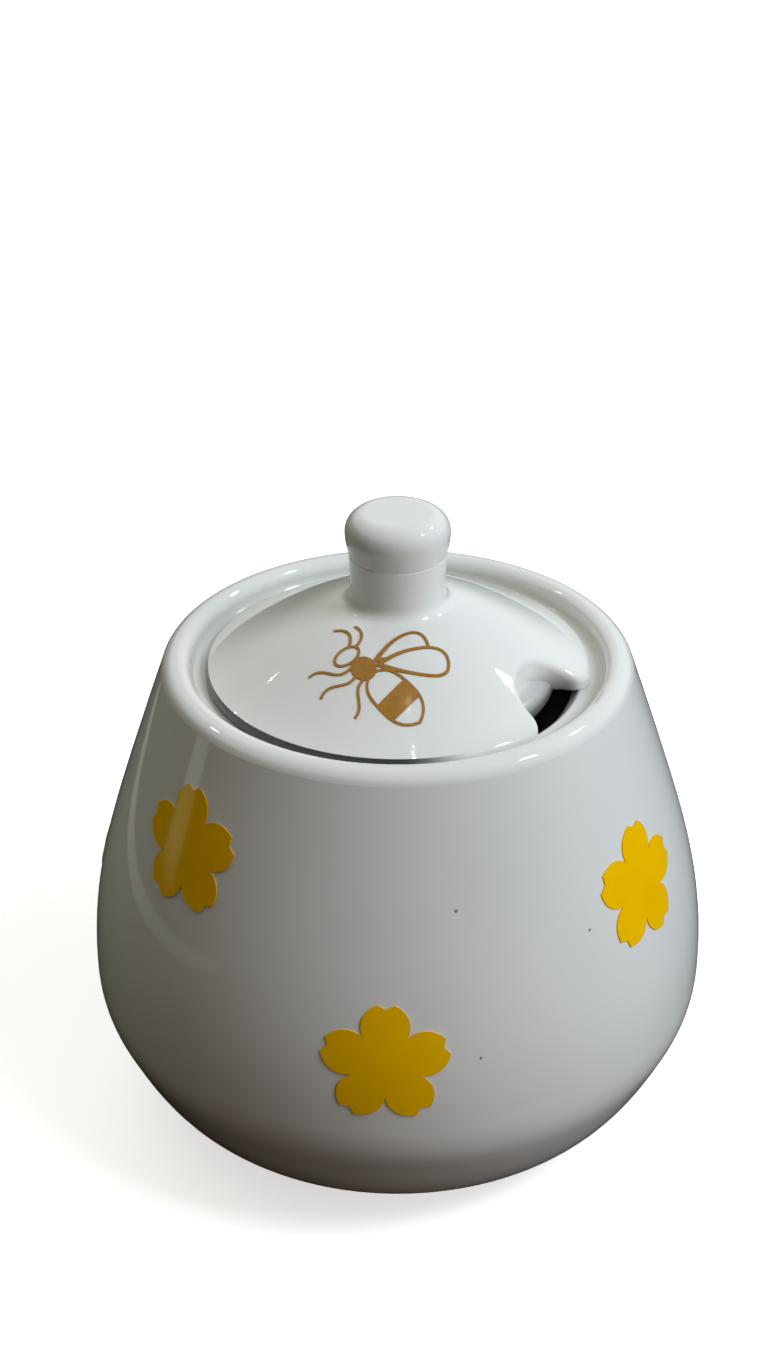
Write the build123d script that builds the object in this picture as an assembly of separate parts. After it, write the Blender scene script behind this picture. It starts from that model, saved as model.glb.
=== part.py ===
from build123d import *
from math import atan, cos, degrees, radians, sin, tan
import os

# Honey pot in glazed porcelain: a squat pot with a gallery inside its lip, a loose domed lid
# with a spoon notch, a luted knob, and prints fired on the glaze.
# Millimetres. The origin is the centre of the foot, on the table, and +Z is up. Azimuths are
# in degrees about +Z from +X, and the front of the pot faces -Y.

# Pot
pot_height = 80.1
belly_radius = 50.0
belly_height = 26.0
flank_inset = 1.95
flank_height = 17.2
heel_inset = 8.6
heel_height = 6.2
base_inset = 19.6
base_slope = 0.22
shoulder_inset = 5.9
shoulder_drop = 23.6
lip_lean = 0.35
pot_wall = 4.2
floor_thickness = 4.5
floor_slope = 0.1

# Foot ring
foot_height = 1.5
foot_step = 0.9
foot_width = 4.0
foot_round = 0.8

# Lip: rim_radius is its inside
rim_radius = 32.2
lip_width = 3.8
lip_outer_round = 2.7
lip_inner_round = 1.7

# Gallery: the inner ledge that carries the lid, bevelled down to the mouth
ledge_depth = 3.4
ledge_width = 5.0
ledge_thickness = 4.6
ledge_slope = 0.5
bevel_width = 1.3
bevel_depth = 1.6
ledge_round = 0.5
gallery_round = 1.2

# Lid
lid_play = 2.3
lid_edge = 1.5
crown_rise = 11.7
half_way_rise = 7.65
half_way_radius = 16.0
flank_slope = 0.53
lid_wall = 4.0
lid_top_round = 1.2
lid_seat_round = 0.4

# Ring under the lid, which keeps it in place and closes the spoon notch below
ring_play = 2.8
ring_width = 3.6
ring_depth = 1.5
ring_round = 0.8
apron_foot_rise = 0.3
apron_top_drop = 1.6

# Spoon notch
notch_radius = 6.5
notch_inset = 2.3
notch_azimuth = -29.0
notch_corner_round = 3.0

# Knob, luted to a short neck on the lid
neck_radius = 7.15
neck_foot_round = 2.2
joint_radius = 7.5
joint_rise = 7.1
knob_radius = 8.0
knob_flare = 3.4
knob_crown = 3.2
knob_foot_lean = 0.15
knob_top_round = 3.1
lute_round = 0.12

# Prints
print_thickness = 0.12
print_gap = 0.06
blossom_radius = 9.6
low_row_rise = 12.4
middle_row_drop = 25.9
high_row_drop = 17.7
petal_count = 5

# Petal shape, as shares of the blossom's radius
cleft = 0.56
petal_half_width = 0.376
petal_widest = 0.67
petal_root_lean = 0.55
lobe_half_gap = 0.135
notch_depth = 0.07

# Bee, drawn on its own plan with the thorax at the centre and the tail along +X
bee_across = -5.0
bee_inset = 14.1
bee_azimuth = -45.0
stroke = 0.38
thorax_size = (2.1, 1.75)
head_size = (2.1, 1.6)
head_place = (-3.55, 0)
head_turn = 75
abdomen_place = (1.3, 0)
abdomen_size = (10.6, 6.0)
band_place = (7.3, 0)
band_length = 3.3
big_wing_place = (0.8, 1.2)
big_wing_turn = 51
big_wing_size = (11.4, 4.6)
small_wing_place = (0.2, 1.4)
small_wing_turn = 71
small_wing_size = (9.2, 4.2)
wing_root = 1.4
bee_strokes = [
    ((-4.5, 1.4), (-6.4, 3.1), (-8.9, 2.4)),
    ((-3.6, 1.8), (-4.5, 4.0), (-6.6, 4.6)),
    ((-1.6, -1.1), (-3.0, -3.2), (-5.0, -3.9), (-6.1, -5.4)),
    ((-0.1, -1.5), (-0.6, -3.6), (-1.9, -5.0), (-1.9, -6.9)),
    ((1.3, -1.2), (2.2, -3.3), (3.6, -4.4), (4.4, -6.1)),
]
# Leaf shapes: share of the length at the widest place, lean at the root and at the tip
wing_shape = (0.56, (1, 0.5), (0, -1))
abdomen_shape = (0.44, (0.3, 1), (0.35, -1))

# What follows from the sizes above
flank_radius = belly_radius - flank_inset
heel_radius = belly_radius - heel_inset
base_radius = belly_radius - base_inset
foot_radius = base_radius - foot_step
shoulder_radius = belly_radius - shoulder_inset
shoulder_height = pot_height - shoulder_drop
lip_radius = rim_radius + lip_width
floor_height = foot_height + floor_thickness
ledge_height = pot_height - ledge_depth
ledge_radius = rim_radius - ledge_width
lid_radius = rim_radius - lid_play
ring_radius = ledge_radius - ring_play
ring_bottom = ledge_height - ring_depth
notch_reach = lid_radius - notch_inset
edge_height = ledge_height + lid_edge
crown_height = edge_height + crown_rise
joint_height = crown_height + joint_rise
knob_height = knob_flare + knob_crown
bee_place = (bee_across, bee_inset - lid_radius)
low_row = belly_height + low_row_rise
middle_row = pot_height - middle_row_drop
high_row = pot_height - high_row_drop

# Blossoms: azimuth, height and turn of each
blossoms = [
    (-92.1, low_row, 0),
    (-35.2, middle_row, -8),
    (16, low_row, -6),
    (65, high_row, 5),
    (116, middle_row, -4),
    (168, low_row, 7),
    (-137.6, high_row, 7.5),
]

# Working margins: how far a cut runs past a face, and the least flat left by a rounding
clear = 1.0
hair = 0.1
halvings = 40


def profile_face(*edges):
    """A face in the XZ plane from edges drawn as (radius, height)."""
    return Plane.XZ * make_face(edges)


def outer_curves(grow=0.0):
    """The pot's skin from the base to the lip, as two edges that meet at the belly."""
    belly = (belly_radius + grow, belly_height)
    lower = Spline(
        (base_radius + grow, foot_height),
        (heel_radius + grow, heel_height),
        (flank_radius + grow, flank_height),
        belly,
        tangents=((1, base_slope), (0, 1)),
    )
    upper = Spline(
        belly,
        (shoulder_radius + grow, shoulder_height),
        (lip_radius + grow, pot_height),
        tangents=((0, 1), (-lip_lean, 1)),
    )
    return lower, upper


def solid_form():
    """The pot's outer form, closed and filled."""
    lower, upper = outer_curves()
    base = Line((0, foot_height), lower @ 0)
    top = Line(upper @ 1, (0, pot_height))
    axis = Line((0, pot_height), (0, foot_height))
    return revolve(profile_face(base, lower, upper, top, axis), Axis.Z)


def skin_band():
    """A thin layer all over the pot's skin."""
    lower, upper = outer_curves(print_gap)
    outer_lower, outer_upper = outer_curves(print_gap + print_thickness)
    base = Line(outer_lower @ 0, lower @ 0)
    top = Line(upper @ 1, outer_upper @ 1)
    return revolve(profile_face(lower, upper, top, outer_upper, outer_lower, base), Axis.Z)


def skin_point(height):
    """Radius and lean of the pot's skin at a height."""
    lower, upper = outer_curves()
    curve = lower if height < belly_height else upper
    low, high = 0.0, 1.0
    for _ in range(halvings):
        middle = (low + high) / 2
        if (curve @ middle).Y < height:
            low = middle
        else:
            high = middle
    return (curve @ low).X, curve % low


def hollow_form():
    """The inside of the pot, from the floor up to the underside of the ledge."""
    top_height = ledge_height - ledge_thickness
    slope_height = top_height - (lip_radius - ledge_radius) * ledge_slope
    neck_inside = skin_point(slope_height)[0] - pot_wall
    floor = Line((0, floor_height), (base_radius, floor_height))
    wall = Spline(
        floor @ 1,
        (flank_radius - pot_wall, flank_height),
        (belly_radius - pot_wall, belly_height),
        (shoulder_radius - pot_wall, shoulder_height),
        (neck_inside, slope_height),
        tangents=((1, floor_slope), (-lip_lean, 1)),
    )
    slope = Line(wall @ 1, (ledge_radius, top_height))
    top = Line(slope @ 1, (0, top_height))
    axis = Line(top @ 1, (0, floor_height))
    return revolve(profile_face(floor, wall, slope, top, axis), Axis.Z)


def disc(radius, low, high):
    """A plain round blank between two heights."""
    return Pos(0, 0, low) * extrude(Circle(radius), high - low)


def ring_edge(solid, radius, height):
    """The round edge of a solid that lies nearest to a radius and a height."""
    def miss(edge):
        points = [edge @ share for share in (0, 0.4, 0.8)]
        return sum(abs(Vector(p.X, p.Y, 0).length - radius) + abs(p.Z - height) for p in points)
    return min(solid.edges(), key=miss)


def rounded(solid, *rings):
    """The solid with round edges softened, each given as (radius, height, rounding)."""
    for radius, height, rounding in rings:
        solid = fillet(ring_edge(solid, radius, height), rounding)
    return solid


def lip_round():
    """The lip's outer rounding, as far as its width leaves room for it."""
    half_angle = (90 + degrees(atan(lip_lean))) / 2
    room = lip_width - lip_inner_round - hair
    return min(lip_outer_round, room * tan(radians(half_angle)))


def ledge_bevel():
    """The cone that bevels the ledge down to the mouth."""
    middle = Pos(0, 0, ledge_height - bevel_depth / 2)
    return middle * Cone(ledge_radius, ledge_radius + bevel_width, bevel_depth)


def make_pot():
    """The pot in one casting: foot ring, wall, ledge and lip."""
    foot_inner = foot_radius - foot_width
    pot = solid_form() + disc(foot_radius, 0, foot_height + clear)
    pot -= disc(foot_inner, 0, foot_height)
    pot -= hollow_form()
    pot -= disc(ledge_radius, floor_height + clear, pot_height)
    pot -= disc(rim_radius, ledge_height, pot_height + clear)
    pot -= ledge_bevel()
    return rounded(
        pot,
        (lip_radius, pot_height, lip_round()),
        (rim_radius, pot_height, lip_inner_round),
        (rim_radius, ledge_height, gallery_round),
        (ledge_radius + bevel_width, ledge_height, ledge_round),
        (ledge_radius, ledge_height - bevel_depth, ledge_round),
        (ledge_radius, ledge_height - ledge_thickness, ledge_round),
        (foot_radius, 0, foot_round),
        (foot_inner, 0, foot_round),
    )


def dome_curve(lift=0.0):
    """The dome's surface from the crown to the lid's edge, raised or lowered."""
    return Spline(
        (0, crown_height + lift),
        (half_way_radius, edge_height + half_way_rise + lift),
        (lid_radius, edge_height + lift),
        tangents=((1, 0), (1, -flank_slope)),
    )


def dome_band():
    """A thin layer all over the dome."""
    under, over = dome_curve(print_gap), dome_curve(print_gap + print_thickness)
    edge = Line(under @ 1, over @ 1)
    axis = Line(over @ 0, under @ 0)
    return revolve(profile_face(under, edge, over, axis), Axis.Z)


def dome_form(drop, radius, low):
    """A round blank under the dome's surface, lowered by a drop, down to a height."""
    top = dome_curve(-drop)
    skirt = Line(top @ 1, (lid_radius + clear, edge_height - flank_slope * clear - drop))
    side = Line(skirt @ 1, (lid_radius + clear, low))
    base = Line(side @ 1, (0, low))
    axis = Line(base @ 1, top @ 0)
    blank = revolve(profile_face(top, skirt, side, base, axis), Axis.Z)
    return blank & disc(radius, low, crown_height)


def notch_place():
    """The centre of the spoon notch, on the lid's plan."""
    return Rot(0, 0, notch_azimuth) * Pos(notch_reach, 0, 0)


def lid_plan():
    """The lid seen from above: a disc with a round bay in its edge."""
    plan = Circle(lid_radius) - notch_place() * Circle(notch_radius)
    return fillet(plan.vertices(), notch_corner_round)


def dome_height(radius):
    """Height of the dome's surface at a radius."""
    curve = dome_curve()
    low, high = 0.0, 1.0
    for _ in range(halvings):
        middle = (low + high) / 2
        if (curve @ middle).X < radius:
            low = middle
        else:
            high = middle
    return (curve @ low).Y


def lid_ring():
    """The filled ring under the lid, whose face leans back into the spoon notch."""
    inner = notch_reach - notch_radius
    top_height = dome_height(inner) - lid_top_round - apron_top_drop
    side = Line((ring_radius, ring_bottom), (ring_radius, ledge_height + apron_foot_rise))
    apron = Spline(side @ 1, (inner, top_height), tangents=((0, 1), (0, 1)))
    top = Line(apron @ 1, (0, top_height))
    axis = Line(top @ 1, (0, ring_bottom))
    base = Line(axis @ 1, side @ 0)
    return revolve(profile_face(side, apron, top, axis, base), Axis.Z)


def lid_hollow():
    """The hollow under the lid, which keeps a wall around the notch."""
    plan = Circle(ring_radius - ring_width) - notch_place() * Circle(notch_radius + lid_wall)
    plan = fillet(plan.vertices(), notch_corner_round)
    return dome_form(lid_wall, ring_radius, ring_bottom - clear) & extrude(plan, crown_height)


def make_neck():
    """The short neck on the crown, which flares up to the knob's joint."""
    neck_base = crown_height - lid_wall / 2
    side = Line((neck_radius, neck_base), (joint_radius, joint_height))
    top = Line(side @ 1, (0, joint_height))
    axis = Line(top @ 1, (0, neck_base))
    base = Line(axis @ 1, side @ 0)
    return revolve(profile_face(side, top, axis, base), Axis.Z)


def make_lid():
    """The loose lid: dome, spoon notch, ring and neck."""
    plan = extrude(lid_plan(), crown_height)
    lid = plan & dome_form(0, lid_radius + clear, ledge_height)
    dome_face = lid.faces().sort_by(Axis.Z)[-1]
    lid = fillet(dome_face.edges(), lid_top_round)
    seat_face = lid.faces().sort_by(Axis.Z)[0]
    lid = fillet(seat_face.edges(), lid_seat_round)
    lid += lid_ring()
    lid -= lid_hollow()
    ring_face = lid.faces().sort_by(Axis.Z)[0]
    lid = fillet(ring_face.edges(), ring_round)
    lid += make_neck()
    lid = fillet(ring_edge(lid, neck_radius, crown_height), neck_foot_round)
    return rounded(lid, (joint_radius, joint_height, lute_round))


def make_knob():
    """The solid knob, which flares from the joint to a soft flat top."""
    top_height = joint_height + knob_height
    side = Spline(
        (joint_radius, joint_height),
        (knob_radius, joint_height + knob_flare),
        tangents=((knob_foot_lean, 1), (0, 1)),
    )
    upper = Line(side @ 1, (knob_radius, top_height))
    top = Line(upper @ 1, (0, top_height))
    axis = Line(top @ 1, (0, joint_height))
    base = Line(axis @ 1, side @ 0)
    knob = revolve(profile_face(side, upper, top, axis, base), Axis.Z)
    return rounded(
        knob,
        (knob_radius, top_height, min(knob_top_round, knob_crown - hair)),
        (joint_radius, joint_height, lute_round),
    )


def petal_edges(turn):
    """One petal of a blossom: two bulging sides and a small notch at the tip."""
    reach = blossom_radius
    half = radians(180 / petal_count)
    root = (cleft * reach * cos(half), cleft * reach * sin(half))
    widest = (petal_widest * reach, petal_half_width * reach)
    lobe = (reach, lobe_half_gap * reach)
    tip = ((1 - notch_depth) * reach, 0)
    right = [(x, -y) for x, y in (root, widest, lobe)]
    left = [root, widest, lobe]
    sides = [
        Spline(*right, tangents=((1, -petal_root_lean), (petal_root_lean, 1))),
        Line(right[-1], tip),
        Line(tip, left[-1]),
        Spline(*reversed(left), tangents=((-petal_root_lean, 1), (-1, -petal_root_lean))),
    ]
    return [Rot(0, 0, turn) * side for side in sides]


def blossom_outline():
    """A five-petalled cherry blossom with one petal up, as a flat sketch."""
    edges = []
    for petal in range(petal_count):
        edges += petal_edges(90 + 360 * petal / petal_count)
    return make_face(edges)


def make_blossom(azimuth, height, turn, skin):
    """A blossom print, as a thin layer that follows the pot's skin."""
    radius, tangent = skin_point(height)
    around = Vector(-sin(radians(azimuth)), cos(radians(azimuth)), 0)
    outward = Vector(cos(radians(azimuth)), sin(radians(azimuth)), 0)
    normal = outward * tangent.Y - Vector(0, 0, 1) * tangent.X
    centre = outward * radius + Vector(0, 0, height)
    face = Plane(centre, x_dir=around, z_dir=normal) * Rot(0, 0, turn) * blossom_outline()
    block = extrude(face, blossom_radius / 2, both=True)
    return block & skin


def leaf(length, width, shape):
    """A pointed or round-ended leaf along +X from the origin."""
    widest, root_lean, tip_lean = shape
    middle = (widest * length, width / 2)
    back = Spline((0, 0), middle, (length, 0), tangents=(root_lean, tip_lean))
    return make_face([back, mirror(back, about=Plane.XZ)])


def leaf_line(length, width, shape, root):
    """The outline of a leaf, one stroke wide, with a filled root."""
    inside = leaf(length - root - stroke, width - 2 * stroke, shape)
    return leaf(length, width, shape) - Pos(root, 0) * inside


def ring_line(long_radius, short_radius):
    """The outline of an ellipse, one stroke wide."""
    return Ellipse(long_radius, short_radius) - Ellipse(long_radius - stroke, short_radius - stroke)


def bee_sketch():
    """A generic bee seen from above: head, thorax, banded abdomen, wings and legs."""
    abdomen = Pos(*abdomen_place) * leaf(*abdomen_size, abdomen_shape)
    band = Pos(*band_place) * Rectangle(band_length, 2 * abdomen_size[1])
    big_place = Pos(*big_wing_place) * Rot(0, 0, big_wing_turn)
    small_place = Pos(*small_wing_place) * Rot(0, 0, small_wing_turn)
    big_wing = big_place * leaf(*big_wing_size, wing_shape)
    small_line = small_place * leaf_line(*small_wing_size, wing_shape, wing_root)
    sketch = Ellipse(*thorax_size) + (band & abdomen)
    sketch += Pos(*abdomen_place) * leaf_line(*abdomen_size, abdomen_shape, stroke)
    sketch += Pos(*head_place) * Rot(0, 0, head_turn) * ring_line(*head_size)
    sketch += big_place * leaf_line(*big_wing_size, wing_shape, wing_root)
    sketch += small_line - big_wing
    for points in bee_strokes:
        sketch += trace(Spline(*points), stroke)
    return sketch


def make_bee():
    """The bee print, as a thin layer that follows the dome."""
    place = Pos(*bee_place, ledge_height) * Rot(0, 0, bee_azimuth)
    block = extrude(place * bee_sketch(), crown_height - ledge_height + clear)
    return block & dome_band()


def make_prints():
    """All the prints by node name."""
    skin = skin_band()
    prints = {"bee_print": make_bee()}
    for number, (azimuth, height, turn) in enumerate(blossoms, start=1):
        prints[f"blossom_print_{number}"] = make_blossom(azimuth, height, turn, skin)
    return prints


def main():
    """Build every piece and write one STEP file for each."""
    os.makedirs("parts", exist_ok=True)
    pieces = {"pot_body": make_pot(), "lid": make_lid(), "knob": make_knob()}
    pieces.update(make_prints())
    for name, piece in pieces.items():
        export_step(piece, f"parts/{name}.step")
        box = piece.bounding_box()
        print(name, len(piece.solids()), round(piece.volume, 2), box.min, box.max)


if __name__ == "__main__":
    main()
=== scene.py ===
import math

import bpy
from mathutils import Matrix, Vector


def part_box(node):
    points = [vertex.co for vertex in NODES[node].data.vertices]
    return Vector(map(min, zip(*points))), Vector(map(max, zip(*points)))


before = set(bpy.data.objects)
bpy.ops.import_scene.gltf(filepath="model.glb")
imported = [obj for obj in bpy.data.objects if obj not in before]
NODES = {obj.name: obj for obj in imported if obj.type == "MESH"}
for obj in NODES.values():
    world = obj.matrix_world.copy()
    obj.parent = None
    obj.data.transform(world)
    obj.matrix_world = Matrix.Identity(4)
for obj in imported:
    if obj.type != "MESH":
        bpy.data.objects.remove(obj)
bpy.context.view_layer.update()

bl_info = {
    "name": "Glazed Honey Pot",
    "version": (1, 0, 0),
    "blender": (4, 5, 0),
    "location": "View3D > Sidebar > Honey Pot",
    "description": "Glaze, prints and a studio for a porcelain honey pot with a loose lid",
    "category": "Object",
}

BLOSSOMS = sorted(name for name in NODES if name.startswith("blossom_print"))

# Places on the pot and the lid, in metres. A pair of numbers is where a tone begins and
# where it is full.
LIP_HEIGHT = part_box("pot_body")[1].z
LEDGE_HEIGHT = LIP_HEIGHT - 0.0034
BARE_BORDER = 0.0001

# Height and inner radius of the bare porcelain.
FOOT_BARE = (0.0006, 0.0)
SEAT_BARE = (LEDGE_HEIGHT + 0.0003, 0.0246)

# Radius, height and spread of the glaze pooled in the ledge's corner.
LEDGE_POOL = (0.0322, LEDGE_HEIGHT, 0.004)

# Iron flecks on the pot: place and radius.
FLECKS = (
    ((0.0083, -0.0419, 0.0608), 0.00035),
    ((0.0282, -0.0355, 0.0527), 0.0003),
    ((0.0121, -0.0474, 0.0385), 0.00028),
)

# The lid's rim: crisp, with painted shade on its side where the gap to the lip is deep.
RIM_RADIUS = 0.0299
RIM_EDGE = LEDGE_HEIGHT + 0.00175
RIM_RISE = 1.9
CREASE_LINE = (RIM_EDGE - 0.00004, RIM_EDGE + 0.00004)
CREASE_HEIGHT = (RIM_EDGE - 0.0015, RIM_EDGE - 0.0013)
CREASE_RADIUS = (RIM_RADIUS - 0.0008, RIM_RADIUS - 0.0006)
SIDE_HEIGHT = (RIM_EDGE + 0.00005, RIM_EDGE - 0.00005)
SIDE_RADIUS = (RIM_RADIUS - 0.0012, RIM_RADIUS - 0.0009)
SHADED_GAP_WAY = (-0.66, -0.75, 0.0)
SHADED_GAP_REACH = (0.45, 0.75)

# The spoon notch in the lid, whose wall gets painted shade, darkest at its bottom.
NOTCH_PLACE = (0.02414, -0.01338, 0.0)
NOTCH_RADIUS = 0.0065
NOTCH_BORDER = (NOTCH_RADIUS + 0.0012, NOTCH_RADIUS - 0.0002)
NOTCH_HEIGHT = (LEDGE_HEIGHT + 0.0045, LEDGE_HEIGHT - 0.0015)

# Glaze and prints: noise scales are in patches per metre.
CERAMIC_IOR = 1.5
CLOUD_SCALE = 26.0
CLOUD_RANGE = (0.3, 0.7)
FINE_SCALE = 420.0
FINE_HEIGHT = 0.04
FLECK_EDGE = (1.0, 0.55)
GLAZE_UNEVENNESS = 0.05
PRINT_UNEVENNESS = 0.06
BARE_ROUGHNESS = 0.75
NOTCH_ROUGHNESS = 0.5
INK_RANGE = (0.35, 0.75)
BLOSSOM_GRAIN = 130.0
BLOSSOM_SHEEN = (0.8, 0.8, 0.15)
BEE_GRAIN = 900.0
BEE_SHEEN = (1.0, 0.85, 0.55)

# Lamps: direction and size. A spot only gives a highlight.
LAMP_TARGET = (0, 0, 0.05)
LAMP_DISTANCE = 1.1
WINDOW_WAY = (0.58, -0.27, 0.77)
WINDOW_SIZE = 0.4
WINDOW_COLOR = (0.87, 0.92, 1.0)
SPOT_COLOR = (0.97, 1.0, 0.99)
SPOT_UNIT = 0.1
SPOTS = {
    "window_spot": ((0.62, -0.12, 0.78), 0.10),
    "side_spot": ((0.58, 0.38, 0.71), 0.08),
    "left_spot": ((-0.62, 0.34, 0.70), 0.05),
    "far_spot": ((-0.59, 0.48, 0.65), 0.012),
    "top_spot": ((0.07, 0.0, 1.0), 0.012),
}

# Soft patches of sky: direction and colour.
GLOW_FOCUS = 8.0
GLOWS = {
    "right": ((0.98, 0.0, 0.17), (1.70, 2.05, 2.25)),
    "front right": ((0.60, -0.74, 0.31), (1.15, 0.92, 0.80)),
    "back": ((0.0, 0.94, 0.34), (1.51, 1.45, 1.39)),
    "back left": ((-0.61, 0.35, 0.71), (1.08, 1.06, 0.85)),
    "high back": ((-0.35, 0.75, 0.56), (0.50, 0.50, 0.50)),
}
WHITE = (1.0, 1.0, 1.0)

# The floor as it is seen, the light it sends to the pot, and what it shines by itself.
FLOOR_COLOR = (0.9, 0.9, 0.9)
FLOOR_BOUNCE = (0.035, 0.018, 0.008)
FLOOR_SHINE = 0.62
DISC_CORNERS = 96

# The dark tent round the pot, and the slanting line along which it ends.
TENT_SIZE = 2.0
TENT_SLANT = (0.18, 0.24, 1.0)
TENT_END = (1.25, 0.45)
CLOTH_COLOR = (0.01, 0.009, 0.008, 1.0)
MAT_HEIGHT = 0.001

# Small pale cards: place, width, height, lean and brightness.
CARD_BASE = (0.0, 0.0, 0.0, 1.0)
CARD_COLOR = (0.90, 1.0, 0.95, 1.0)
CARDS = {
    "tall_card": ((-0.30, 0.006, 0.028), 0.045, 0.056, 0.0, 0.65),
    "low_card": ((-0.15, 0.018, 0.011), 0.05, 0.008, math.radians(14), 0.3),
}

CAMERA_PLACE = (0, -0.28159, 0.23692)
CAMERA_TILT = math.radians(59.969)
CAMERA_LENS = 54.84
CAMERA_SENSOR = 36.0
CAMERA_SHIFT = -0.01004
CAMERA_NEAR = 0.01


# ---------------------------------------------------------------- node helpers

def link(tree, source, target):
    tree.links.new(source, target)


def feed(tree, value, socket):
    """Links a socket to a socket, or sets it to a value."""
    if isinstance(value, bpy.types.NodeSocket):
        link(tree, value, socket)
    else:
        socket.default_value = value


def math_node(tree, operation, *operands):
    """A Math node; each operand is a socket or a number."""
    node = tree.nodes.new("ShaderNodeMath")
    node.operation = operation
    for socket, value in zip(node.inputs, operands):
        feed(tree, value, socket)
    return node.outputs[0]


def vector_node(tree, operation, *operands):
    """A Vector Math node; each operand is a socket or three numbers."""
    node = tree.nodes.new("ShaderNodeVectorMath")
    node.operation = operation
    for socket, value in zip(node.inputs, operands):
        feed(tree, value, socket)
    number = operation in ("DISTANCE", "DOT_PRODUCT", "LENGTH")
    return node.outputs["Value" if number else "Vector"]


def noise_node(tree, vector, scale, detail, roughness):
    """The level of a noise; the scale is a socket or a number."""
    node = tree.nodes.new("ShaderNodeTexNoise")
    link(tree, vector, node.inputs["Vector"])
    feed(tree, scale, node.inputs["Scale"])
    node.inputs["Detail"].default_value = detail
    node.inputs["Roughness"].default_value = roughness
    return node.outputs["Fac"]


def ramp_between(tree, value, low, high):
    """0 below low, 1 above high, smooth between; low may be the larger."""
    node = tree.nodes.new("ShaderNodeMapRange")
    node.interpolation_type = "SMOOTHSTEP"
    link(tree, value, node.inputs["Value"])
    node.inputs["From Min"].default_value = low
    node.inputs["From Max"].default_value = high
    return node.outputs["Result"]


def mix_color(tree, share, first, second):
    """A colour mix; each colour is a socket or three numbers."""
    node = tree.nodes.new("ShaderNodeMix")
    node.data_type = "RGBA"
    link(tree, share, node.inputs[0])
    for socket, value in ((node.inputs[6], first), (node.inputs[7], second)):
        if not isinstance(value, bpy.types.NodeSocket):
            value = (*value[:3], 1.0)
        feed(tree, value, socket)
    return node.outputs[2]


def mix_vector(tree, share, first, second):
    """A mix of two vectors."""
    node = tree.nodes.new("ShaderNodeMix")
    node.data_type = "VECTOR"
    link(tree, share, node.inputs[0])
    link(tree, first, node.inputs[4])
    link(tree, second, node.inputs[5])
    return node.outputs[1]


def object_place(tree):
    """The object's own coordinates."""
    return tree.nodes.new("ShaderNodeTexCoord").outputs["Object"]


def world_normal(tree, normal):
    """Turns a normal of the object into one of the world."""
    node = tree.nodes.new("ShaderNodeVectorTransform")
    node.vector_type = "NORMAL"
    node.convert_from = "OBJECT"
    node.convert_to = "WORLD"
    link(tree, normal, node.inputs[0])
    return node.outputs[0]


def start_group(name, inputs, outputs):
    """A shader node group with named sockets, and its input and output nodes."""
    group = bpy.data.node_groups.new(name, "ShaderNodeTree")
    for label, kind, default in inputs:
        socket = group.interface.new_socket(label, in_out="INPUT", socket_type=kind)
        if default is not None:
            socket.default_value = default
    for label in outputs:
        group.interface.new_socket(label, in_out="OUTPUT", socket_type="NodeSocketFloat")
    return group, group.nodes.new("NodeGroupInput"), group.nodes.new("NodeGroupOutput")


def glaze_group():
    """Uneven glaze: a soft tone, fine gloss variation and the height of its slow waves."""
    group = bpy.data.node_groups.get("uneven_glaze")
    if group:
        return group
    group, source, result = start_group(
        "uneven_glaze",
        [("Vector", "NodeSocketVector", None), ("Wave Size", "NodeSocketFloat", 40.0)],
        ["Tone", "Gloss", "Height"],
    )
    vector = source.outputs["Vector"]
    slow = noise_node(group, vector, source.outputs["Wave Size"], 1.0, 0.4)
    fine = noise_node(group, vector, FINE_SCALE, 2.0, 0.5)
    cloud = noise_node(group, vector, CLOUD_SCALE, 2.0, 0.5)
    height = math_node(group, "MULTIPLY_ADD", fine, FINE_HEIGHT, slow)
    link(group, cloud, result.inputs["Tone"])
    link(group, fine, result.inputs["Gloss"])
    link(group, height, result.inputs["Height"])
    return group


def speck_group():
    """A round fleck of a given size at a given place."""
    group = bpy.data.node_groups.get("glaze_speck")
    if group:
        return group
    group, source, result = start_group(
        "glaze_speck",
        [
            ("Vector", "NodeSocketVector", None),
            ("Place", "NodeSocketVector", None),
            ("Radius", "NodeSocketFloat", 0.0003),
        ],
        ["Mask"],
    )
    gap = vector_node(group, "DISTANCE", source.outputs["Vector"], source.outputs["Place"])
    share = math_node(group, "DIVIDE", gap, source.outputs["Radius"])
    link(group, ramp_between(group, share, *FLECK_EDGE), result.inputs["Mask"])
    return group


def place_group(tree, group, vector, **values):
    """Puts a node group in a tree, fed with a vector."""
    node = tree.nodes.new("ShaderNodeGroup")
    node.node_tree = group
    link(tree, vector, node.inputs["Vector"])
    for name, value in values.items():
        node.inputs[name.replace("_", " ")].default_value = value
    return node


# ---------------------------------------------------------------- masks on the pot and the lid

def round_places(tree, place):
    """A point's vector from the axis, its distance from the axis and its height."""
    across = vector_node(tree, "MULTIPLY", place, (1.0, 1.0, 0.0))
    radius = vector_node(tree, "LENGTH", across)
    height = vector_node(tree, "DOT_PRODUCT", place, (0.0, 0.0, 1.0))
    return across, radius, height


def pool_mask(tree, radius, height, pool):
    """1 in a corner where the glaze has run together, 0 away from it."""
    ring, level, spread = pool
    out = math_node(tree, "POWER", math_node(tree, "SUBTRACT", radius, ring), 2.0)
    up = math_node(tree, "POWER", math_node(tree, "SUBTRACT", height, level), 2.0)
    gap = math_node(tree, "SQRT", math_node(tree, "ADD", out, up))
    return ramp_between(tree, gap, spread, 0.0)


def bare_mask(tree, radius, height, bare):
    """1 on a ring of bare porcelain: below a height and outside a radius."""
    level, inner = bare
    below = ramp_between(tree, height, level + BARE_BORDER, level - BARE_BORDER)
    outside = ramp_between(tree, radius, inner - BARE_BORDER, inner + BARE_BORDER)
    return math_node(tree, "MULTIPLY", below, outside)


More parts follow.
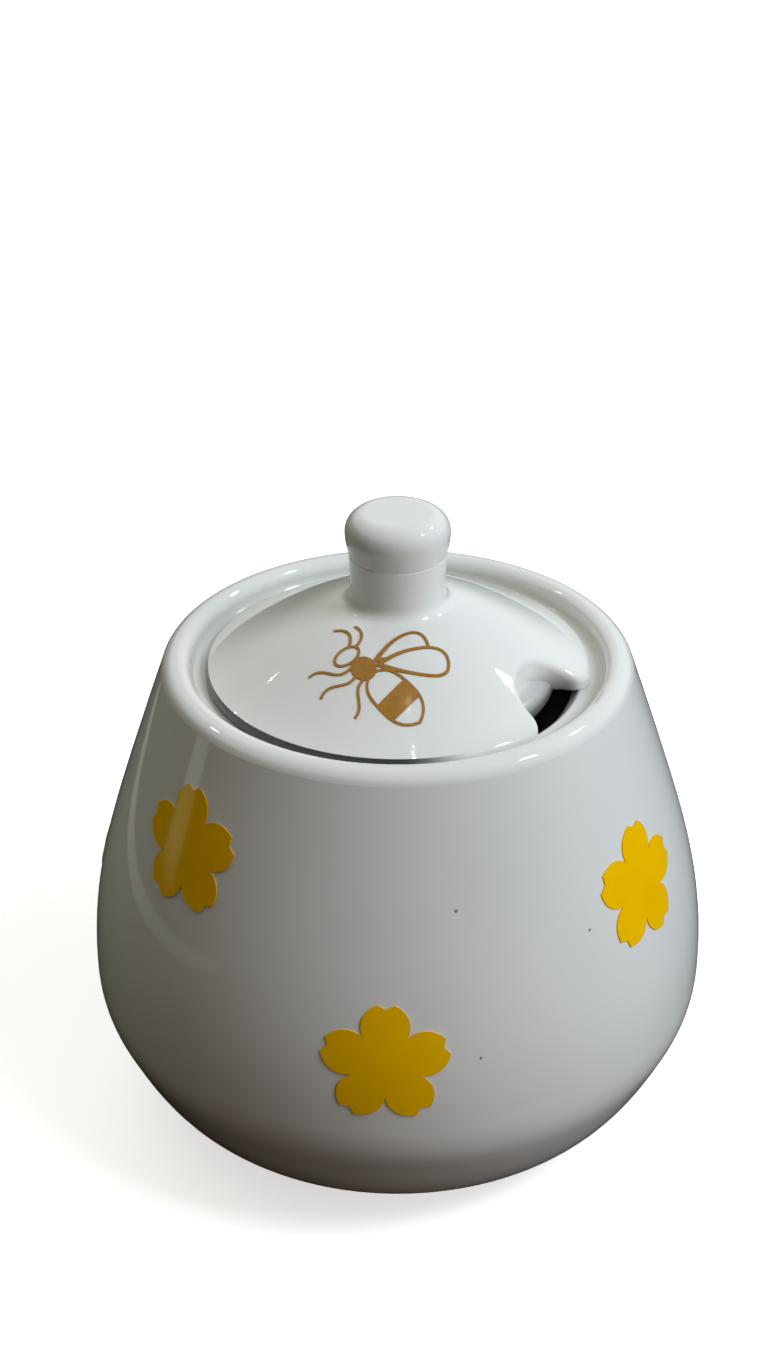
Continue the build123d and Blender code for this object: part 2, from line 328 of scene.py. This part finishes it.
def notch_mask(tree, across, height):
    """How deep a point lies in the spoon notch: 0 at the dome, 1 at the bottom of its wall. It
    sets the painted shade and the roughness there.
    """
    gap = vector_node(tree, "DISTANCE", across, NOTCH_PLACE)
    inside = ramp_between(tree, gap, *NOTCH_BORDER)
    return math_node(tree, "MULTIPLY", inside, ramp_between(tree, height, *NOTCH_HEIGHT))


def shaded_gap_mask(tree, away):
    """1 on the side of the lid where the gap to the lip is deep and in shade, soft at the ends;
    it places the painted shade and the crisp edge.
    """
    towards = vector_node(tree, "DOT_PRODUCT", away, Vector(SHADED_GAP_WAY).normalized())
    return ramp_between(tree, towards, *SHADED_GAP_REACH)


def side_shade_mask(tree, radius, height, shaded_gap):
    """1 on the upright side of the rim in the shaded gap, where the painted shade goes."""
    below = ramp_between(tree, height, *SIDE_HEIGHT)
    side = math_node(tree, "MULTIPLY", below, ramp_between(tree, radius, *SIDE_RADIUS))
    return math_node(tree, "MULTIPLY", side, shaded_gap)


def crisp_rim(tree, away, radius, height, shaded_gap):
    """A normal that makes the lid's rounded rim a crisp edge between its slope and its side."""
    above = ramp_between(tree, height, *CREASE_LINE)
    up = vector_node(tree, "MULTIPLY", above, (0.0, 0.0, RIM_RISE))
    rim = vector_node(tree, "NORMALIZE", vector_node(tree, "ADD", away, up))
    outside = ramp_between(tree, radius, *CREASE_RADIUS)
    share = math_node(tree, "MULTIPLY", outside, ramp_between(tree, height, *CREASE_HEIGHT))
    share = math_node(tree, "MULTIPLY", share, shaded_gap)
    smooth = tree.nodes.new("ShaderNodeNewGeometry").outputs["Normal"]
    return mix_vector(tree, share, smooth, world_normal(tree, rim))


# ---------------------------------------------------------------- materials

def start_material(name):
    """A material with its node tree and its shader."""
    material = bpy.data.materials.new(name)
    material.use_nodes = True
    return material, material.node_tree, material.node_tree.nodes["Principled BSDF"]


def start_stage_material(name):
    """A material of the stage with its node tree, and the socket for its surface."""
    material = bpy.data.materials.new(name)
    material.use_nodes = True
    tree = material.node_tree
    tree.nodes.clear()
    return material, tree, tree.nodes.new("ShaderNodeOutputMaterial").inputs["Surface"]


def add_bump(tree, shader, height, normal=None):
    """Feeds the waves of the glaze to the shader's normal."""
    bump = tree.nodes.new("ShaderNodeBump")
    bump.inputs["Distance"].default_value = bpy.context.scene.honey_pot_glaze.wave_depth
    link(tree, height, bump.inputs["Height"])
    if normal is not None:
        link(tree, normal, bump.inputs["Normal"])
    link(tree, bump.outputs["Normal"], shader.inputs["Normal"])


def roughen(tree, roughness, mask, level):
    """Raises the roughness to a level where a mask is 1."""
    return math_node(tree, "MAXIMUM", roughness, math_node(tree, "MULTIPLY", mask, level))


def shade_rim(tree, across, radius, height, color):
    """The colour with painted shade on the rim's side in the gap, and the normal of its crisp
    edge.
    """
    away = vector_node(tree, "NORMALIZE", across)
    shaded_gap = shaded_gap_mask(tree, away)
    # Painted shade: the rim's side in the deep gap is darkened.
    gap_shade_color = bpy.context.scene.honey_pot_glaze.gap_shade_color
    color = mix_color(tree, side_shade_mask(tree, radius, height, shaded_gap), color, gap_shade_color)
    return color, crisp_rim(tree, away, radius, height, shaded_gap)


def glaze_material(name, flecks=(), bare=None, pool=None, rim=False):
    """Clear gloss glaze on white porcelain, with flecks, a bare ring and a pooled corner; on the
    lid, painted shade in the notch and on the rim's side in the gap.
    """
    look = bpy.context.scene.honey_pot_glaze
    material, tree, shader = start_material(name)
    place = object_place(tree)
    across, radius, height = round_places(tree, place)
    glaze = place_group(tree, glaze_group(), place, Wave_Size=look.wave_scale)
    tone = ramp_between(tree, glaze.outputs["Tone"], *CLOUD_RANGE)
    color = mix_color(tree, tone, look.glaze_color, look.cloud_color)
    roughness = math_node(
        tree, "MULTIPLY_ADD", glaze.outputs["Gloss"], GLAZE_UNEVENNESS, look.glaze_roughness)
    normal = None
    if pool is not None:
        color = mix_color(tree, pool_mask(tree, radius, height, pool), color, look.pool_color)
    for spot, size in flecks:
        fleck = place_group(tree, speck_group(), place, Place=spot, Radius=size)
        color = mix_color(tree, fleck.outputs["Mask"], color, look.speck_color)
    if bare is not None:
        mask = bare_mask(tree, radius, height, bare)
        color = mix_color(tree, mask, color, look.bare_color)
        roughness = roughen(tree, roughness, mask, BARE_ROUGHNESS)
    if rim:
        # Painted shade in the spoon notch, and a rougher wall there.
        notch = notch_mask(tree, across, height)
        color = mix_color(tree, notch, color, look.notch_shade_color)
        roughness = roughen(tree, roughness, notch, NOTCH_ROUGHNESS)
        # Painted shade on the rim's side in the gap, and a crisp edge by the normal.
        color, normal = shade_rim(tree, across, radius, height, color)
    link(tree, color, shader.inputs["Base Color"])
    link(tree, roughness, shader.inputs["Roughness"])
    shader.inputs["IOR"].default_value = CERAMIC_IOR
    add_bump(tree, shader, glaze.outputs["Height"], normal)
    return material


def print_material(name, color, shade, grain, sheen):
    """A print fired on the glaze: slightly uneven ink under the same gloss."""
    look = bpy.context.scene.honey_pot_prints
    waves = bpy.context.scene.honey_pot_glaze.wave_scale
    material, tree, shader = start_material(name)
    place = object_place(tree)
    glaze = place_group(tree, glaze_group(), place, Wave_Size=waves)
    ink = ramp_between(tree, noise_node(tree, place, grain, 3.0, 0.6), *INK_RANGE)
    link(tree, mix_color(tree, ink, color, shade), shader.inputs["Base Color"])
    roughness = math_node(
        tree, "MULTIPLY_ADD", glaze.outputs["Gloss"], PRINT_UNEVENNESS, look.roughness)
    link(tree, roughness, shader.inputs["Roughness"])
    shader.inputs["IOR"].default_value = CERAMIC_IOR
    shader.inputs["Specular Tint"].default_value = (*sheen, 1.0)
    add_bump(tree, shader, glaze.outputs["Height"])
    return material


def dress(node, material):
    """Gives a CAD node its material."""
    slots = NODES[node].data.materials
    slots.clear()
    slots.append(material)


# ---------------------------------------------------------------- settings

class HoneyPotGlaze(bpy.types.PropertyGroup):
    glaze_color: bpy.props.FloatVectorProperty(
        name="Glaze", description="White porcelain seen through the clear glaze",
        subtype="COLOR", size=3, min=0.0, max=1.0, default=(0.76, 0.79, 0.77))
    cloud_color: bpy.props.FloatVectorProperty(
        name="Glaze clouds", description="The second tone of the uneven glaze",
        subtype="COLOR", size=3, min=0.0, max=1.0, default=(0.80, 0.82, 0.80))
    pool_color: bpy.props.FloatVectorProperty(
        name="Pooled glaze", description="Glaze that has run together in a corner",
        subtype="COLOR", size=3, min=0.0, max=1.0, default=(0.69, 0.71, 0.67))
    speck_color: bpy.props.FloatVectorProperty(
        name="Flecks", description="Iron flecks in the glaze",
        subtype="COLOR", size=3, min=0.0, max=1.0, default=(0.27, 0.24, 0.20))
    # Painted shade: the wall of the spoon notch is darkened towards its bottom with this colour.
    notch_shade_color: bpy.props.FloatVectorProperty(
        name="Notch wall", description="Thin shaded glaze at the bottom of the spoon notch",
        subtype="COLOR", size=3, min=0.0, max=1.0, default=(0.09, 0.095, 0.095))
    # Painted shade: the lid's side in the deep gap beside the lip is darkened with this colour.
    gap_shade_color: bpy.props.FloatVectorProperty(
        name="Seam", description="Side of the lid in the deep gap beside the lip",
        subtype="COLOR", size=3, min=0.0, max=1.0, default=(0.06, 0.068, 0.056))
    bare_color: bpy.props.FloatVectorProperty(
        name="Bare porcelain", description="Unglazed porcelain where a piece stood in the kiln",
        subtype="COLOR", size=3, min=0.0, max=1.0, default=(0.68, 0.65, 0.60))
    glaze_roughness: bpy.props.FloatProperty(
        name="Gloss", description="Roughness of the glaze",
        subtype="FACTOR", min=0.0, max=1.0, default=0.02)
    wave_scale: bpy.props.FloatProperty(
        name="Waves per metre", description="How close the slow waves of the glaze lie",
        min=1.0, max=500.0, default=45.0)
    wave_depth: bpy.props.FloatProperty(
        name="Wave depth", description="Depth of the waves of the glaze",
        unit="LENGTH", subtype="DISTANCE", min=0.0, max=0.002, default=0.00025)


class HoneyPotPrints(bpy.types.PropertyGroup):
    blossom_color: bpy.props.FloatVectorProperty(
        name="Blossoms", description="Yellow of the blossom prints",
        subtype="COLOR", size=3, min=0.0, max=1.0, default=(1.0, 0.58, 0.0))
    blossom_shade: bpy.props.FloatVectorProperty(
        name="Blossoms, thick ink", description="Yellow where the ink lies thicker",
        subtype="COLOR", size=3, min=0.0, max=1.0, default=(0.96, 0.54, 0.0))
    bee_color: bpy.props.FloatVectorProperty(
        name="Bee", description="Golden brown of the bee print",
        subtype="COLOR", size=3, min=0.0, max=1.0, default=(0.37, 0.17, 0.015))
    bee_shade: bpy.props.FloatVectorProperty(
        name="Bee, thick ink", description="Golden brown where the ink lies thicker",
        subtype="COLOR", size=3, min=0.0, max=1.0, default=(0.28, 0.125, 0.01))
    roughness: bpy.props.FloatProperty(
        name="Gloss", description="Roughness of the prints",
        subtype="FACTOR", min=0.0, max=1.0, default=0.09)


class HoneyPotStage(bpy.types.PropertyGroup):
    key_power: bpy.props.FloatProperty(
        name="Window light", description="Power of the main lamp",
        unit="POWER", min=0.0, max=100.0, default=6.7)
    spot_power: bpy.props.FloatProperty(
        name="Spots", description="Power of a small lamp of 100 mm, which only gives highlights",
        unit="POWER", min=0.0, max=100.0, default=2.6)
    floor_radius: bpy.props.FloatProperty(
        name="Floor", description="Radius of the floor",
        unit="LENGTH", subtype="DISTANCE", min=0.5, max=20.0, default=6.0)


# ---------------------------------------------------------------- stage

def stage_piece(name, material):
    """Names the new piece of the stage and sets its place in its mesh."""
    piece = bpy.context.object
    piece.name = piece.data.name = name
    bpy.ops.object.transform_apply(location=True, rotation=True, scale=True)
    piece.data.materials.append(material)
    return piece


def show_in_gloss_only(piece):
    """Keeps a piece of the stage out of the picture and out of the light."""
    piece.visible_camera = False
    piece.visible_diffuse = False
    piece.visible_shadow = False


def seen_directly(tree):
    """1 for what the camera sees, also in gloss and through glass."""
    seen = tree.nodes.new("ShaderNodeLightPath")
    glossy, glass = seen.outputs["Is Glossy Ray"], seen.outputs["Is Transmission Ray"]
    mirrored = math_node(tree, "MAXIMUM", glossy, glass)
    return math_node(tree, "MAXIMUM", seen.outputs["Is Camera Ray"], mirrored)


def add_disc(name, material, radius, height):
    """A flat disc round the pot's axis."""
    bpy.ops.object.select_all(action="DESELECT")
    bpy.ops.mesh.primitive_circle_add(
        vertices=DISC_CORNERS, radius=radius, fill_type="NGON", location=(0, 0, height))
    return stage_piece(name, material)


def floor_material():
    """A pale floor that keeps the pot's shadow."""
    material, tree, surface = start_stage_material("floor")
    direct = seen_directly(tree)
    matt = tree.nodes.new("ShaderNodeBsdfDiffuse")
    link(tree, mix_color(tree, direct, FLOOR_BOUNCE, FLOOR_COLOR), matt.inputs["Color"])
    shine = tree.nodes.new("ShaderNodeEmission")
    link(tree, math_node(tree, "MULTIPLY", direct, FLOOR_SHINE), shine.inputs["Strength"])
    both = tree.nodes.new("ShaderNodeAddShader")
    link(tree, matt.outputs[0], both.inputs[0])
    link(tree, shine.outputs[0], both.inputs[1])
    link(tree, both.outputs[0], surface)
    return material


def cloth_material():
    """Dark cloth that ends softly along a slanting line."""
    material, tree, surface = start_stage_material("tent_cloth")
    slant = vector_node(tree, "DOT_PRODUCT", object_place(tree), TENT_SLANT)
    clear = tree.nodes.new("ShaderNodeBsdfTransparent")
    black = tree.nodes.new("ShaderNodeBsdfDiffuse")
    black.inputs["Color"].default_value = CLOTH_COLOR
    both = tree.nodes.new("ShaderNodeMixShader")
    link(tree, ramp_between(tree, slant, *TENT_END), both.inputs[0])
    link(tree, clear.outputs[0], both.inputs[1])
    link(tree, black.outputs[0], both.inputs[2])
    link(tree, both.outputs[0], surface)
    return material


def add_tent():
    """A round dark cloth wall and a mat that only the gloss of the glaze sees."""
    cloth = cloth_material()
    bpy.ops.object.select_all(action="DESELECT")
    bpy.ops.mesh.primitive_cylinder_add(
        vertices=DISC_CORNERS, radius=TENT_SIZE, depth=TENT_SIZE, end_fill_type="NOTHING",
        location=(0, 0, TENT_SIZE / 2))
    show_in_gloss_only(stage_piece("tent_wall", cloth))
    show_in_gloss_only(add_disc("tent_mat", cloth, TENT_SIZE, MAT_HEIGHT))


def card_material(name, strength):
    """White card that shines by itself."""
    material, _, shader = start_material(name)
    shader.inputs["Base Color"].default_value = CARD_BASE
    shader.inputs["Emission Color"].default_value = CARD_COLOR
    shader.inputs["Emission Strength"].default_value = strength
    return material


def add_card(name, place, width, height, lean, strength):
    """A small upright card at the left, whose reflection stands in the glaze as a pale streak."""
    bpy.ops.object.select_all(action="DESELECT")
    bpy.ops.mesh.primitive_plane_add(
        size=1.0, location=place, rotation=(lean, math.radians(90), 0))
    bpy.ops.transform.resize(value=(1.0, width, height))
    show_in_gloss_only(stage_piece(name, card_material(name, strength)))


def add_lamp(name, direction, size, power, color):
    """A square soft lamp that looks at the pot's middle."""
    data = bpy.data.lights.new(name, "AREA")
    data.shape = "SQUARE"
    data.size = size
    data.energy = power
    data.color = color
    lamp = bpy.data.objects.new(name, data)
    bpy.context.scene.collection.objects.link(lamp)
    target = Vector(LAMP_TARGET)
    lamp.location = target + Vector(direction).normalized() * LAMP_DISTANCE
    lamp.rotation_euler = (target - lamp.location).to_track_quat("-Z", "Y").to_euler()
    return lamp


def add_lamps(stage):
    """The window's soft light, and the spots for the highlights."""
    window = add_lamp("window_lamp", WINDOW_WAY, WINDOW_SIZE, stage.key_power, WINDOW_COLOR)
    window.visible_glossy = False
    for name, (direction, size) in SPOTS.items():
        power = stage.spot_power * (size / SPOT_UNIT) ** 2
        spot = add_lamp(name, direction, size, power, SPOT_COLOR)
        spot.visible_diffuse = False


def add_glow(tree, way, direction, color):
    """A soft patch of sky round a direction."""
    towards = vector_node(tree, "DOT_PRODUCT", way, Vector(direction).normalized())
    share = math_node(tree, "POWER", math_node(tree, "MAXIMUM", towards, 0.0), GLOW_FOCUS)
    return vector_node(tree, "MULTIPLY", color, share)


def studio_world():
    """Soft patches of sky, brightest at the right, and white behind the pot."""
    world = bpy.data.worlds.new("studio")
    world.use_nodes = True
    tree = world.node_tree
    tree.nodes.clear()
    way = tree.nodes.new("ShaderNodeTexCoord").outputs["Generated"]
    sky = (0.0, 0.0, 0.0)
    for direction, color in GLOWS.values():
        sky = vector_node(tree, "ADD", sky, add_glow(tree, way, direction, color))
    light = tree.nodes.new("ShaderNodeBackground")
    link(tree, mix_color(tree, seen_directly(tree), sky, WHITE), light.inputs["Color"])
    output = tree.nodes.new("ShaderNodeOutputWorld")
    link(tree, light.outputs[0], output.inputs["Surface"])
    return world


def add_camera(scene):
    """The camera, which looks down at the pot from the front."""
    data = bpy.data.cameras.new("camera")
    data.lens = CAMERA_LENS
    data.sensor_fit = "AUTO"
    data.sensor_width = CAMERA_SENSOR
    data.shift_x = CAMERA_SHIFT
    data.clip_start = CAMERA_NEAR
    camera = bpy.data.objects.new("camera", data)
    camera.location = CAMERA_PLACE
    camera.rotation_euler = (CAMERA_TILT, 0, 0)
    scene.collection.objects.link(camera)
    scene.camera = camera


# ---------------------------------------------------------------- operators

class HONEYPOT_OT_pot(bpy.types.Operator):
    """Glazes the pot, with its bare foot, the pooled corner of its ledge and its flecks"""
    bl_idname = "honeypot.pot"
    bl_label = "Pot"

    def execute(self, context):
        dress("pot_body", glaze_material("pot_glaze", FLECKS, bare=FOOT_BARE, pool=LEDGE_POOL))
        return {"FINISHED"}


class HONEYPOT_OT_lid(bpy.types.Operator):
    """Glazes the lid, with its bare seat, its crisp rim, and painted shade in its notch and on
    the rim's side
    """
    bl_idname = "honeypot.lid"
    bl_label = "Lid"

    def execute(self, context):
        dress("lid", glaze_material("lid_glaze", bare=SEAT_BARE, rim=True))
        return {"FINISHED"}


class HONEYPOT_OT_knob(bpy.types.Operator):
    """Glazes the knob"""
    bl_idname = "honeypot.knob"
    bl_label = "Knob"

    def execute(self, context):
        dress("knob", glaze_material("knob_glaze"))
        return {"FINISHED"}


class HONEYPOT_OT_blossoms(bpy.types.Operator):
    """Colours the blossom prints"""
    bl_idname = "honeypot.blossoms"
    bl_label = "Blossom prints"

    def execute(self, context):
        look = context.scene.honey_pot_prints
        yellow = print_material(
            "yellow_print", look.blossom_color, look.blossom_shade, BLOSSOM_GRAIN, BLOSSOM_SHEEN)
        for name in BLOSSOMS:
            dress(name, yellow)
        return {"FINISHED"}


class HONEYPOT_OT_bee(bpy.types.Operator):
    """Colours the bee print"""
    bl_idname = "honeypot.bee"
    bl_label = "Bee print"

    def execute(self, context):
        look = context.scene.honey_pot_prints
        gold = print_material("gold_print", look.bee_color, look.bee_shade, BEE_GRAIN, BEE_SHEEN)
        dress("bee_print", gold)
        return {"FINISHED"}


class HONEYPOT_OT_stage(bpy.types.Operator):
    """Makes the floor, the lamps, the tent, the cards, the sky and the camera"""
    bl_idname = "honeypot.stage"
    bl_label = "Stage"

    def execute(self, context):
        scene = context.scene
        stage = scene.honey_pot_stage
        add_disc("floor", floor_material(), stage.floor_radius, 0.0)
        add_lamps(stage)
        add_tent()
        for name, card in CARDS.items():
            add_card(name, *card)
        scene.world = studio_world()
        add_camera(scene)
        scene.view_settings.view_transform = "Standard"
        return {"FINISHED"}


# ---------------------------------------------------------------- panel and registration

class HONEYPOT_PT_panel(bpy.types.Panel):
    """Lists the pieces of the honey pot and their settings"""
    bl_label = "Honey Pot"
    bl_idname = "HONEYPOT_PT_panel"
    bl_space_type = "VIEW_3D"
    bl_region_type = "UI"
    bl_category = "Honey Pot"

    def draw(self, context):
        scene = context.scene
        for group in (scene.honey_pot_glaze, scene.honey_pot_prints, scene.honey_pot_stage):
            box = self.layout.box()
            for name in group.__annotations__:
                box.prop(group, name)
        for operator in OPERATORS:
            self.layout.operator(operator.bl_idname)


OPERATORS = (
    HONEYPOT_OT_pot,
    HONEYPOT_OT_lid,
    HONEYPOT_OT_knob,
    HONEYPOT_OT_blossoms,
    HONEYPOT_OT_bee,
    HONEYPOT_OT_stage,
)
GROUPS = (HoneyPotGlaze, HoneyPotPrints, HoneyPotStage)


def register():
    for kind in (*GROUPS, *OPERATORS, HONEYPOT_PT_panel):
        bpy.utils.register_class(kind)
    bpy.types.Scene.honey_pot_glaze = bpy.props.PointerProperty(type=HoneyPotGlaze)
    bpy.types.Scene.honey_pot_prints = bpy.props.PointerProperty(type=HoneyPotPrints)
    bpy.types.Scene.honey_pot_stage = bpy.props.PointerProperty(type=HoneyPotStage)


def unregister():
    del bpy.types.Scene.honey_pot_stage
    del bpy.types.Scene.honey_pot_prints
    del bpy.types.Scene.honey_pot_glaze
    for kind in reversed((*GROUPS, *OPERATORS, HONEYPOT_PT_panel)):
        bpy.utils.unregister_class(kind)


def main():
    register()
    bpy.ops.honeypot.pot()
    bpy.ops.honeypot.lid()
    bpy.ops.honeypot.knob()
    bpy.ops.honeypot.blossoms()
    bpy.ops.honeypot.bee()
    bpy.ops.honeypot.stage()


if __name__ == "__main__":
    main()
